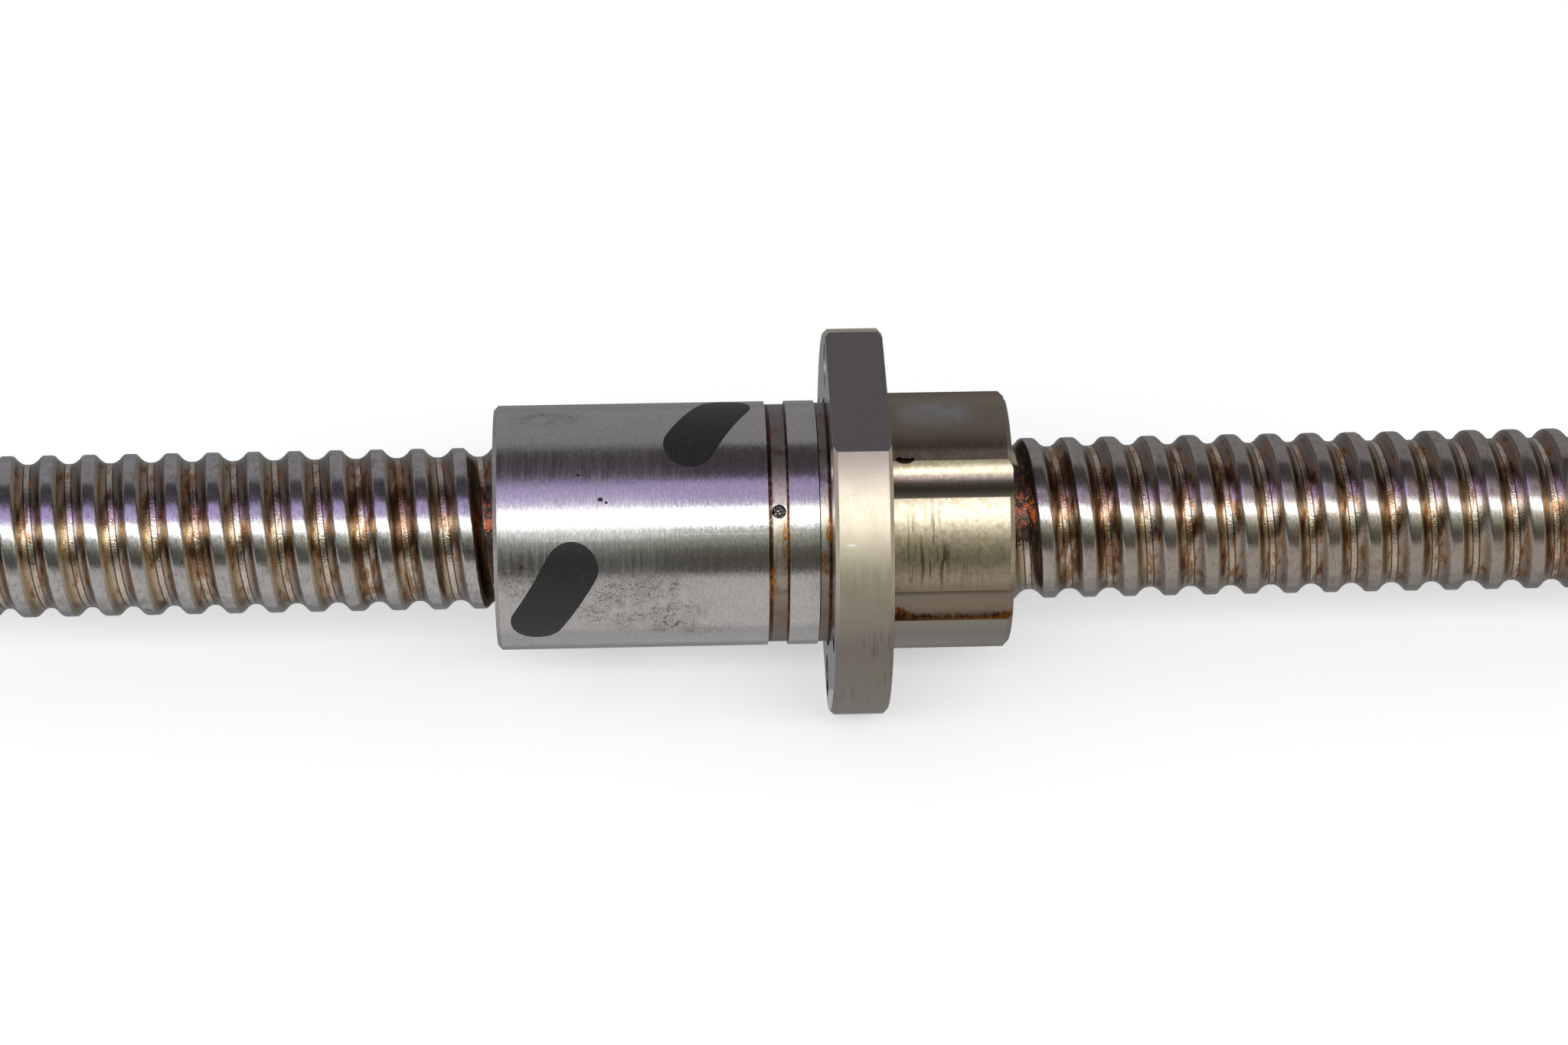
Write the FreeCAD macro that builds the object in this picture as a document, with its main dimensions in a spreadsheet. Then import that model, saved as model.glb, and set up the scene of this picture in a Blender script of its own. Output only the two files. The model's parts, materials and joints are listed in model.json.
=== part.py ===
import FreeCAD, Part
import Sketcher
import math
import os
import re

# Ball screw with a flanged nut. X runs along the screw, Z is up, and the origin is on the axis,
# in the plane of the flange's seating face. Lengths are in millimetres and angles in degrees.
# Angles round the axis count from -Y towards +Z.

SIZES = {
    # screw shaft
    "screw_diameter": 19.8,
    "lead": 5,
    "thread_left_reach": 106,
    "thread_right_reach": 120,
    "thread_end_chamfer": 1.2,
    "journal_diameter": 15,
    "journal_left_length": 22,
    "journal_right_length": 22,
    "journal_chamfer": 1,
    # balls and their grooves in the screw and the nut
    "ball_diameter": 3.175,
    "ball_circle_diameter": 21,
    "ball_clearance": 0.08,
    "ball_spacing": 0.1,
    "arch_offset": 0.07,
    "groove_strip_width": 0.7,
    "crest_break": 0.1,
    # nut body
    "body_diameter": 30,
    "body_length": 40.5,
    "body_chamfer": 0.5,
    "bore_clearance": 0.45,
    "oil_groove_width": 2.5,
    "oil_groove_depth": 0.4,
    "oil_groove_setback": 5,
    "oil_hole_diameter": 1.7,
    "oil_hole_angle": 47,
    "undercut_width": 1.4,
    "undercut_depth": 0.3,
    "undercut_face_depth": 0.2,
    "undercut_face_reach": 0.3,
    # flange and hub
    "flange_diameter": 47.5,
    "flange_thickness": 7,
    "flange_chamfer": 0.5,
    "flats_width": 42,
    "bolt_circle_diameter": 39,
    "bolt_hole_diameter": 5.5,
    "bolt_count": 6,
    "flute_diameter": 9.2,
    "hub_diameter": 31.5,
    "hub_length": 15,
    "hub_chamfer": 0.6,
    # deflectors, the first one measured from the left end of the nut
    "deflector_count": 4,
    "deflector_setback": 7.15,
    "deflector_angle": 7,
    "deflector_step_turns": 1.25,
    "deflector_width": 6.4,
    "deflector_reach_along": 4.3,
    "deflector_reach_round": 7.6,
    "deflector_fit": 0.05,
    "crossover_angle": 70,
    "crossover_lift": 1.2,
    # wiper rings
    "wiper_diameter": 25,
    "wiper_thickness": 1.1,
    "wiper_lip": 0.4,
    "wiper_seat_depth": 1.4,
    "wiper_fit": 0.06,
    "wiper_clearance": 0.2,
}

# Lengths worked out from the sizes, as formulas
BODY_R = "(body_diameter / 2)"
FLANGE_R = "(flange_diameter / 2)"
HUB_R = "(hub_diameter / 2)"
SCREW_R = "(screw_diameter / 2)"
JOURNAL_R = "(journal_diameter / 2)"
BOLT_CIRCLE_R = "(bolt_circle_diameter / 2)"
WIPER_SEAT_R = "(wiper_diameter / 2)"
BORE_R = "(screw_diameter / 2 + bore_clearance)"
BALL_PATH_R = "(ball_circle_diameter / 2)"
CHANNEL_R = "(ball_diameter / 2 + ball_clearance)"
ARCH_R = "(ball_diameter / 2 + ball_clearance + arch_offset)"
HALF_STRIP = "(groove_strip_width / 2)"
NUT_RIGHT = "(flange_thickness + hub_length)"
OIL_GROOVE_LEFT = "(-oil_groove_setback - oil_groove_width)"

# The middle of the groove where it crosses the plane above the axis. The first deflector stands
# across a crest, half a lead from the grooves that it joins.
GROOVE_X = "(deflector_setback - body_length + lead / 2 - lead * (90 - deflector_angle) / 360)"

V = FreeCAD.Vector
X_AXIS = V(1, 0, 0)

# How far a ball channel is drawn to each side of a deflector, in even steps, as angles round the axis
CHANNEL_REACH = 60
CHANNEL_STEP = 10

doc = FreeCAD.newDocument("ball_screw")
sheet = doc.addObject("Spreadsheet::Sheet", "sizes")
for row, (size_name, number) in enumerate(SIZES.items(), start=1):
    sheet.set(f"A{row}", size_name)
    sheet.set(f"B{row}", str(number))
    sheet.setAlias(f"B{row}", size_name)
doc.recompute()


def formula(text):
    """The formula with each size's name pointing to its cell."""
    return re.sub(r"[a-z_]+", lambda word: "sizes." + word[0] if word[0] in SIZES else word[0], text)


def value(text):
    """The number that a formula gives."""
    return float(sheet.evalExpression(formula(text)))


def bind(thing, path, text):
    """Tie a property of an object to a formula on the sheet."""
    thing.setExpression(path, formula(text))


def origin_part(body, role):
    """One of a body's own origin planes or axes."""
    return next(feature for feature in body.Origin.OriginFeatures if feature.Role == role)


def new_sketch(body, name, role):
    """A sketch on one of the body's origin planes."""
    sketch = body.newObject("Sketcher::SketchObject", name)
    sketch.AttachmentSupport = [(origin_part(body, role), "")]
    sketch.MapMode = "FlatFace"
    return sketch


def hold(sketch, line, point, x=None, y=None):
    """Hold a point of a sketch line at formulas for its coordinates."""
    for kind, text, axis in (("DistanceX", x, -2), ("DistanceY", y, -1)):
        if text == "0":
            sketch.addConstraint(Sketcher.Constraint("PointOnObject", line, point, axis))
        elif text is not None:
            place = sketch.addConstraint(Sketcher.Constraint(kind, -1, 1, line, point, value(text)))
            bind(sketch, f"Constraints[{place}]", text)


def closed_lines(corners, arc_centres):
    """The lines of a closed outline through corners, each a pair of formulas, in counter-clockwise
    order. The lines that start at the corners numbered in arc_centres are arcs about those centres."""
    places = [V(value(x), value(y), 0) for x, y in corners]
    lines = []
    for number, (start, end) in enumerate(zip(places, places[1:] + places[:1])):
        if number in arc_centres:
            x, y = arc_centres[number]
            centre = V(value(x), value(y), 0)
            circle = Part.Circle(centre, V(0, 0, 1), start.distanceToPoint(centre))
            lines.append(Part.ArcOfCircle(circle, circle.parameter(start), circle.parameter(end)))
        else:
            lines.append(Part.LineSegment(start, end))
    return lines


def closed_sketch(body, name, role, corners, arc_centres=None):
    """A sketch of a closed outline, held by its corners and the centres of its arcs."""
    arc_centres = arc_centres or {}
    sketch = new_sketch(body, name, role)
    for line in closed_lines(corners, arc_centres):
        sketch.addGeometry(line)
    for line, (x, y) in enumerate(corners):
        sketch.addConstraint(Sketcher.Constraint("Coincident", line, 2, (line + 1) % len(corners), 1))
        hold(sketch, line, 1, x, y)
    for arc, (x, _) in arc_centres.items():
        hold(sketch, arc, 3, x)
    return sketch


def circle_sketch(body, name, role, x, y, radius):
    """A sketch of one circle."""
    sketch = new_sketch(body, name, role)
    sketch.addGeometry(Part.Circle(V(value(x), value(y), 0), V(0, 0, 1), value(radius)))
    hold(sketch, 0, 3, x, y)
    place = sketch.addConstraint(Sketcher.Constraint("Radius", 0, value(radius)))
    bind(sketch, f"Constraints[{place}]", radius)
    return sketch


def face_outwards(sketch, x, angle):
    """Turn a sketch on the XZ plane so that its normal points away from the axis at an angle."""
    sketch.AttachmentOffset = FreeCAD.Placement(V(), FreeCAD.Rotation(X_AXIS, -value(angle)))
    bind(sketch, "AttachmentOffset.Base.x", x)
    bind(sketch, "AttachmentOffset.Rotation.Angle", f"-({angle}) * 1 deg")


def turn(body, name, section):
    """The solid that a half section makes when it turns about X."""
    turned = body.newObject("PartDesign::Revolution", name)
    turned.Profile = section
    turned.ReferenceAxis = (origin_part(body, "X_Axis"), [""])
    turned.Angle = 360
    return turned


def cut(body, name, sketch, length):
    """A pocket that runs from its sketch along the sketch's normal."""
    pocket = body.newObject("PartDesign::Pocket", name)
    pocket.Profile = sketch
    pocket.Reversed = True
    bind(pocket, "Length", length)
    return pocket


def cut_ball_groove(body, name, section, length):
    """A right-hand helical groove along X."""
    doc.recompute()
    helix = body.newObject("PartDesign::SubtractiveHelix", name)
    helix.Profile = section
    helix.ReferenceAxis = (origin_part(body, "X_Axis"), [""])
    helix.Mode = "pitch-height-angle"
    bind(helix, "Pitch", "lead")
    bind(helix, "Height", length)
    return helix


def groove_section(body, name, left_reach, side, open_r, mouth_r, flare):
    """The section of a ball groove: a pointed arch of two arcs with a flat strip at its bottom.

    It stands on the groove's path, more than one lead to the left of left_reach. side is "-" for the
    screw, whose groove lies inside the ball path, and "+" for the nut. From mouth_r to open_r, past
    the surface that is cut, each wall leans outwards by flare.
    """
    x = f"({GROOVE_X} - lead * (floor(({GROOVE_X} + {left_reach}) / lead) + 2))"
    other = "+" if side == "-" else "-"
    strip_r = f"({BALL_PATH_R} {side} sqrt({ARCH_R}^2 - ({HALF_STRIP} + arch_offset)^2))"
    half_mouth = f"(sqrt({ARCH_R}^2 - ({BALL_PATH_R} - {mouth_r})^2) - arch_offset)"
    corners = [
        (f"{x} {side} ({half_mouth} + {flare})", open_r),
        (f"{x} {side} {half_mouth}", mouth_r),
        (f"{x} {side} {HALF_STRIP}", strip_r),
        (f"{x} {other} {HALF_STRIP}", strip_r),
        (f"{x} {other} {half_mouth}", mouth_r),
        (f"{x} {other} ({half_mouth} + {flare})", open_r),
    ]
    arc_centres = {
        1: (f"{x} {other} arch_offset", BALL_PATH_R),
        3: (f"{x} {side} arch_offset", BALL_PATH_R),
    }
    return closed_sketch(body, name, "XZ_Plane", corners, arc_centres)


def make_screw_shaft():
    """The screw: a turned shaft with a plain journal at each end and one long ball groove."""
    body = doc.addObject("PartDesign::Body", "screw_shaft")
    left_end = "(-thread_left_reach - journal_left_length)"
    right_end = "(thread_right_reach + journal_right_length)"
    section = closed_sketch(body, "shaft_section", "XZ_Plane", [
        (left_end, "0"),
        (left_end, f"{JOURNAL_R} - journal_chamfer"),
        (f"{left_end} + journal_chamfer", JOURNAL_R),
        ("-thread_left_reach", JOURNAL_R),
        ("-thread_left_reach", f"{SCREW_R} - thread_end_chamfer"),
        ("-thread_left_reach + thread_end_chamfer", SCREW_R),
        ("thread_right_reach - thread_end_chamfer", SCREW_R),
        ("thread_right_reach", f"{SCREW_R} - thread_end_chamfer"),
        ("thread_right_reach", JOURNAL_R),
        (f"{right_end} - journal_chamfer", JOURNAL_R),
        (right_end, f"{JOURNAL_R} - journal_chamfer"),
        (right_end, "0"),
    ])
    turn(body, "turned_shaft", section)
    groove = groove_section(body, "screw_groove_section", "thread_left_reach", "-",
                            f"({SCREW_R} + crest_break)", f"({SCREW_R} - crest_break)", "2 * crest_break")
    cut_ball_groove(body, "screw_groove", groove, "thread_left_reach + thread_right_reach + 3 * lead")
    return body


def nut_section(body):
    """Half the section of the nut: ground body, flange and hub round a bore with a seat at each end."""
    return closed_sketch(body, "nut_section", "XZ_Plane", [
        ("-body_length", WIPER_SEAT_R),
        ("-body_length", f"{BODY_R} - body_chamfer"),
        ("-body_length + body_chamfer", BODY_R),
        (OIL_GROOVE_LEFT, BODY_R),
        (OIL_GROOVE_LEFT, f"{BODY_R} - oil_groove_depth"),
        ("-oil_groove_setback", f"{BODY_R} - oil_groove_depth"),
        ("-oil_groove_setback", BODY_R),
        ("-undercut_width", BODY_R),
        ("-undercut_width", f"{BODY_R} - undercut_depth"),
        ("undercut_face_depth", f"{BODY_R} - undercut_depth"),
        ("undercut_face_depth", f"{BODY_R} + undercut_face_reach"),
        ("0", f"{BODY_R} + undercut_face_reach"),
        ("0", f"{FLANGE_R} - flange_chamfer"),
        ("flange_chamfer", FLANGE_R),
        ("flange_thickness - flange_chamfer", FLANGE_R),
        ("flange_thickness", f"{FLANGE_R} - flange_chamfer"),
        ("flange_thickness", HUB_R),
        (f"{NUT_RIGHT} - hub_chamfer", HUB_R),
        (NUT_RIGHT, f"{HUB_R} - hub_chamfer"),
        (NUT_RIGHT, WIPER_SEAT_R),
        (f"{NUT_RIGHT} - wiper_seat_depth", WIPER_SEAT_R),
        (f"{NUT_RIGHT} - wiper_seat_depth", BORE_R),
        ("-body_length + wiper_seat_depth", BORE_R),
        ("-body_length + wiper_seat_depth", WIPER_SEAT_R),
    ])


def mill_flats(body):
    """Two flats on the flange, above and below the axis."""
    for name, side in (("upper", ""), ("lower", "-")):
        near = f"{side}(flats_width / 2)"
        far = f"{side}flange_diameter"
        corners = [("-flange_diameter", near), ("flange_diameter", near), ("flange_diameter", far),
                   ("-flange_diameter", far)]
        cut(body, f"{name}_flat", closed_sketch(body, f"{name}_flat_section", "YZ_Plane", corners),
            "flange_thickness")


def drill_bolt_circle(body):
    """Bolt holes through the flange, and flutes along the hub that clear the bolt heads."""
    hole_section = circle_sketch(body, "bolt_hole_section", "YZ_Plane", f"-{BOLT_CIRCLE_R}", "0",
                                 "bolt_hole_diameter / 2")
    hole = cut(body, "bolt_hole", hole_section, "flange_thickness")
    flute_section = circle_sketch(body, "flute_section", "YZ_Plane", f"-{BOLT_CIRCLE_R}", "0",
                                  "flute_diameter / 2")
    bind(flute_section, "AttachmentOffset.Base.z", "flange_thickness")
    flute = cut(body, "flute", flute_section, "hub_length")
    doc.recompute()
    pattern = body.newObject("PartDesign::PolarPattern", "bolt_circle")
    pattern.Originals = [hole, flute]
    pattern.Axis = (origin_part(body, "X_Axis"), [""])
    pattern.Angle = 360
    bind(pattern, "Occurrences", "bolt_count")
    body.Tip = pattern


def drill_oil_hole(body):
    """The oil hole, from the bore out into the oil groove."""
    section = circle_sketch(body, "oil_hole_section", "XZ_Plane", "0", "0", "oil_hole_diameter / 2")
    face_outwards(section, f"({OIL_GROOVE_LEFT} - oil_groove_setback) / 2", "oil_hole_angle")
    cut(body, "oil_hole", section, "body_diameter")


def deflector_x(index):
    """Formula for the place of a deflector's middle along the axis."""
    return f"(deflector_setback - body_length + {index} * lead * deflector_step_turns)"


def deflector_turn(index):
    """Formula for the angle of a deflector's middle round the axis."""
    return f"(deflector_angle - {index} * 360 * deflector_step_turns)"


def along_the_helix(index):
    """The screw motion that takes the first deflector to another one."""
    steps = value(f"{index} * deflector_step_turns")
    return FreeCAD.Placement(V(steps * value("lead"), 0, 0), FreeCAD.Rotation(X_AXIS, 360 * steps))


def repeated(name, index, shape):
    """A copy of the first circuit's piece, moved along the helix to its own circuit."""
    copy = doc.addObject("Part::Feature", f"{name}_{index + 1}")
    copy.Shape = shape
    copy.Placement = along_the_helix(index)
    return copy


def slot_outline(radius):
    """The corners and arc centres of a deflector's slanted slot, about its middle."""
    along, across = "(deflector_reach_along / 2)", "(deflector_reach_round / 2)"
    half_length = f"sqrt({along}^2 + {across}^2)"
    side_x, side_y = f"({radius} * {across} / {half_length})", f"({radius} * {along} / {half_length})"
    corners = [
        (f"{side_x} - {along}", f"-{side_y} - {across}"),
        (f"{along} + {side_x}", f"{across} - {side_y}"),
        (f"{along} - {side_x}", f"{across} + {side_y}"),
        (f"-{along} - {side_x}", f"{side_y} - {across}"),
    ]
    return corners, {1: (along, across), 3: (f"-{along}", f"-{across}")}


def mill_windows(body):
    """One window for each deflector, out through the nut wall."""
    for index in range(int(value("deflector_count"))):
        section = closed_sketch(body, f"window_{index + 1}_section", "XZ_Plane",
                                *slot_outline("(deflector_width / 2)"))
        face_outwards(section, deflector_x(index), deflector_turn(index))
        cut(body, f"window_{index + 1}", section, "body_diameter")


def make_ball_nut():
    """The nut: turned with its flange and hub, then drilled, milled and threaded with the ball groove."""
    body = doc.addObject("PartDesign::Body", "ball_nut")
    turn(body, "turned_nut", nut_section(body))
    mill_flats(body)
    drill_bolt_circle(body)
    drill_oil_hole(body)
    mill_windows(body)
    groove = groove_section(body, "nut_groove_section", "body_length", "+", SCREW_R, BALL_PATH_R, "0")
    cut_ball_groove(body, "nut_groove", groove, f"body_length + {NUT_RIGHT} + 3 * lead")
    return body


def round_the_axis(x, radius, angle):
    """A point at a distance from the axis and an angle round it."""
    turned = math.radians(angle)
    return V(x, -radius * math.cos(turned), radius * math.sin(turned))


def ball_place(index, angle):
    """Where a circuit's ball is, at an angle round the axis from its deflector's middle.

    Past the deflector the ball runs in the groove. On it the ball crosses the crest to the next turn
    of the groove, and is lifted clear of it on the way.
    """
    angle = (angle + 180) % 360 - 180
    crossover = value("crossover_angle")
    share = max(-1, min(1, 2 * angle / crossover))
    across = math.sin(share * math.pi / 2)
    along = across * value("lead") / 2 - value("lead") * angle / 360
    radius = value(BALL_PATH_R) + value("crossover_lift") * (1 - across ** 4)
    return round_the_axis(value(deflector_x(index)) + along, radius, value(deflector_turn(index)) + angle)


def ball_channel(index, middle):
    """The tube that a circuit's balls sweep past a window, to each side of an angle round the axis."""
    first = middle - value(deflector_turn(index)) - CHANNEL_REACH
    points = [ball_place(index, first + step) for step in range(0, 2 * CHANNEL_REACH + 1, CHANNEL_STEP)]
    path = Part.BSplineCurve()
    path.interpolate(points)
    mouth = Part.Circle(points[0], path.tangent(path.FirstParameter)[0], value(CHANNEL_R))
    return Part.Wire(path.toShape()).makePipeShell([Part.Wire(mouth.toShape())], True, False)


def deflector_shape():
    """The first deflector: an insert that fills its window and carries the channel over the screw's crest."""
    angle = value(deflector_turn(0))
    lines = closed_lines(*slot_outline("(deflector_width / 2 - deflector_fit)"))
    outline = Part.Wire([line.toShape() for line in lines])
    plug = Part.Face(outline).extrude(V(0, 0, value("body_diameter")))
    plug.rotate(V(), X_AXIS, 90 - angle)
    plug.translate(V(value(deflector_x(0)), 0, 0))
    left, length = plug.BoundBox.XMin, plug.BoundBox.XLength
    wall = Part.makeCylinder(value(BODY_R), length, V(left, 0, 0), X_AXIS)
    bore = Part.makeCylinder(value(BORE_R), length, V(left, 0, 0), X_AXIS)
    channels = [ball_channel(circuit, angle) for circuit in (-1, 0, 1)]
    return plug.common(wall.cut(bore)).cut(channels).Solids[0]


def ball_circuit_shape():
    """The balls of the first circuit, evenly spaced along one turn of the groove and its crossover."""
    turn_points = [ball_place(0, angle) for angle in range(-180, 181)]
    run = [0]
    for start, end in zip(turn_points, turn_points[1:]):
        run.append(run[-1] + start.distanceToPoint(end))
    count = int(run[-1] / (value("ball_diameter") + value("ball_spacing")))
    balls = []
    for ball in range(count):
        along = run[-1] * ball / count
        step = max(place for place in range(len(run) - 1) if run[place] <= along)
        share = (along - run[step]) / (run[step + 1] - run[step])
        balls.append(Part.makeSphere(value("ball_diameter / 2"), ball_place(0, step - 180 + share)))
    return Part.makeCompound(balls)


def make_wiper(name, seat, outwards):
    """A wiper ring in the seat at one end of the nut, just clear of the screw."""
    inner = f"({seat} {outwards} wiper_fit)"
    outer = f"({inner} {outwards} wiper_thickness)"
    bore_r = f"({SCREW_R} + wiper_clearance)"
    body = doc.addObject("PartDesign::Body", name)
    section = closed_sketch(body, f"{name}_section", "XZ_Plane", [
        (inner, f"{bore_r} + wiper_lip"),
        (inner, f"{WIPER_SEAT_R} - wiper_fit"),
        (outer, f"{WIPER_SEAT_R} - wiper_fit"),
        (outer, bore_r),
        (f"{outer} {'+' if outwards == '-' else '-'} wiper_thickness / 2", bore_r),
    ])
    turn(body, f"{name}_ring", section)
    return body


parts = [make_screw_shaft(), make_ball_nut()]
for name, shape in (("deflector", deflector_shape()), ("ball_circuit", ball_circuit_shape())):
    parts += [repeated(name, index, shape) for index in range(int(value("deflector_count")))]
parts += [
    make_wiper("wiper_left", "-body_length + wiper_seat_depth", "-"),
    make_wiper("wiper_right", f"{NUT_RIGHT} - wiper_seat_depth", "+"),
]
doc.recompute()

for thing in doc.Objects:
    if {"Invalid", "Error"} & set(thing.State):
        raise RuntimeError(f"{thing.Name} failed: {thing.State}")
    if thing.isDerivedFrom("PartDesign::Pocket") or thing.isDerivedFrom("PartDesign::SubtractiveHelix"):
        if thing.Shape.Volume >= thing.BaseFeature.Shape.Volume:
            raise RuntimeError(f"{thing.Name} cuts nothing")
for part in parts:
    if part.Shape.isNull() or not part.Shape.isValid():
        raise RuntimeError(f"{part.Label} has no valid shape")

os.makedirs("parts", exist_ok=True)
for part in parts:
    part.Shape.exportStep(f"parts/{part.Label}.step")
    print(part.Label, len(part.Shape.Solids), "solids", round(part.Shape.Volume, 1), "mm3")
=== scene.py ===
# %% [markdown]
# A ball screw turns rotation into travel. A hardened shaft carries a round groove, balls run in the groove,
# and a nut with a flange closes over them. This lesson dresses the finished construction: the pieces arrive
# at their true size and place, and here they get ground, blasted and turned steel, black deflectors and
# grease.

# %% Load the construction
import json
import math

import bmesh
import bpy
from mathutils import Matrix, Vector, noise

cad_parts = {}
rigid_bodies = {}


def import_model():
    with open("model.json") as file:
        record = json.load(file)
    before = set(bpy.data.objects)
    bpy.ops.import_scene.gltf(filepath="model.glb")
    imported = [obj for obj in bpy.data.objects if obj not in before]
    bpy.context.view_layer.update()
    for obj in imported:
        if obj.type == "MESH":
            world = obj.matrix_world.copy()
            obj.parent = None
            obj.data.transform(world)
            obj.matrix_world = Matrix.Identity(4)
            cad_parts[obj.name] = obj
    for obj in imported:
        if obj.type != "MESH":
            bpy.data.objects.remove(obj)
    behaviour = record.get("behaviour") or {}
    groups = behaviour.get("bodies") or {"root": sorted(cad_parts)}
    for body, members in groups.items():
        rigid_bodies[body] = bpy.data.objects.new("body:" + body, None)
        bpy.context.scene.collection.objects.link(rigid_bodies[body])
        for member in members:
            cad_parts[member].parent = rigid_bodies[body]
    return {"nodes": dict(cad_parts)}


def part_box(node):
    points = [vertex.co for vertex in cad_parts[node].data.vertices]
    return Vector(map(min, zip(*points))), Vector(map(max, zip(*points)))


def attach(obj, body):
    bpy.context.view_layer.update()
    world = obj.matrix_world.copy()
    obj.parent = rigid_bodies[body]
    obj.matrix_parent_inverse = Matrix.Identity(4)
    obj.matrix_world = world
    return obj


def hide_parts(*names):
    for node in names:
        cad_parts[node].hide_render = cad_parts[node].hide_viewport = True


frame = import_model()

for startup_name in ("Cube", "Light", "Camera"):
    startup_object = bpy.data.objects.get(startup_name)
    if startup_object:
        bpy.data.objects.remove(startup_object)

scene = bpy.context.scene
scene.view_settings.view_transform = "Standard"
nodes = frame["nodes"]
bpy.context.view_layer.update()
MM = 0.001
print("pieces:", ", ".join(sorted(nodes)))

# %% [markdown]
# The camera stands half a metre away, in front of the part and above it, with a long lens. Its place and its
# three turns were worked out from edges whose sizes are known: the outlines of the shaft, the body and the
# flange, and the lands of the thread. A picture 2048 pixels wide and a lens of 5303 pixels give 93 mm on a
# 36 mm sensor.

# %% Camera
PICTURE_WIDTH = 2048
LENS_PIXELS = 5303
SENSOR_MM = 36
CAMERA_DISTANCE = 500 * MM
CAMERA_ALONG = -23.07 * MM
CAMERA_RISE = math.radians(41.871)
LOOK_AZIMUTH = math.radians(-2.753)
LOOK_ELEVATION = math.radians(41.838)
LOOK_ROLL = math.radians(0.767)

camera_data = bpy.data.cameras.new("camera")
camera_data.sensor_width = SENSOR_MM
camera_data.lens = LENS_PIXELS / PICTURE_WIDTH * SENSOR_MM
camera = bpy.data.objects.new("camera", camera_data)
scene.collection.objects.link(camera)
camera_place = Vector((CAMERA_ALONG, -CAMERA_DISTANCE * math.cos(CAMERA_RISE),
                       CAMERA_DISTANCE * math.sin(CAMERA_RISE)))
camera.matrix_world = (Matrix.Translation(camera_place) @ Matrix.Rotation(LOOK_AZIMUTH, 4, "Z")
                       @ Matrix.Rotation(math.radians(90) - LOOK_ELEVATION, 4, "X")
                       @ Matrix.Rotation(LOOK_ROLL, 4, "Z"))
scene.camera = camera
print("lens", round(camera_data.lens, 1), "mm")

# %% [markdown]
# Shader maths reads best as plain expressions. A small class holds a node's output socket, so that adding,
# subtracting or multiplying two of them adds the Math node for it. One method makes any other node: its
# settings are set first, then the values or links of its sockets.


# %% A socket that takes part in expressions
class Sheen:
    def __init__(self, tree, socket=None):
        self.tree = tree
        self.socket = socket

    def node(self, kind, settings=None, inputs=None, output=0):
        """Make any node from its type, its settings and its sockets, and give one of its outputs."""
        made = self.tree.nodes.new("ShaderNode" + kind)
        for name, value in (settings or {}).items():
            setattr(made, name, value)
        for name, value in (inputs or {}).items():
            if isinstance(value, Sheen):
                self.tree.links.new(value.socket, made.inputs[name])
            else:
                made.inputs[name].default_value = value
        return Sheen(self.tree, made.outputs[output])

    def maths(self, operation, *values):
        return self.node("Math", {"operation": operation}, dict(enumerate(values)))

    def __add__(self, other):
        return self.maths("ADD", self, other)

    def __sub__(self, other):
        return self.maths("SUBTRACT", self, other)

    def __rsub__(self, other):
        return self.maths("SUBTRACT", other, self)

    def __mul__(self, other):
        return self.maths("MULTIPLY", self, other)

    def __truediv__(self, other):
        return self.maths("DIVIDE", self, other)

    __radd__ = __add__
    __rmul__ = __mul__

    def between(self, none, full):
        """A smooth step from 0 to 1 while this value goes from none to full, upwards or downwards."""
        return self.node("MapRange", {"interpolation_type": "SMOOTHSTEP"}, {0: self, 1: none, 2: full})

    def window(self, low, high, soft):
        """A mask of the values from low to high, with soft edges."""
        return self.between(low - soft, low + soft) * self.between(high + soft, high - soft)

    def tint(self, plain, tinted):
        """A colour that goes from plain to tinted as this mask goes from 0 to 1."""
        return self.node("Mix", {"data_type": "RGBA", "clamp_factor": True},
                         {0: self, 6: plain, 7: tinted}, output=2)


def rgb(red, green, blue):
    return (red, green, blue, 1.0)


def paint(ground, *coats):
    """Lay coats over a ground colour, each a mask and the colour that shows where the mask is 1."""
    for mask, colour in coats:
        ground = mask.tint(ground, colour)
    return ground


print("sockets take part in", "+ - * /")


# %% [markdown]
# Every finish starts from where a point lies on the part. In millimetres, x runs along the shaft; the radius
# is the distance from the shaft's axis; the angle counts round it from the front, upwards. Noise that is
# stretched around the axis gives the marks of a turning or grinding tool, with no seam on the back.


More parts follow.
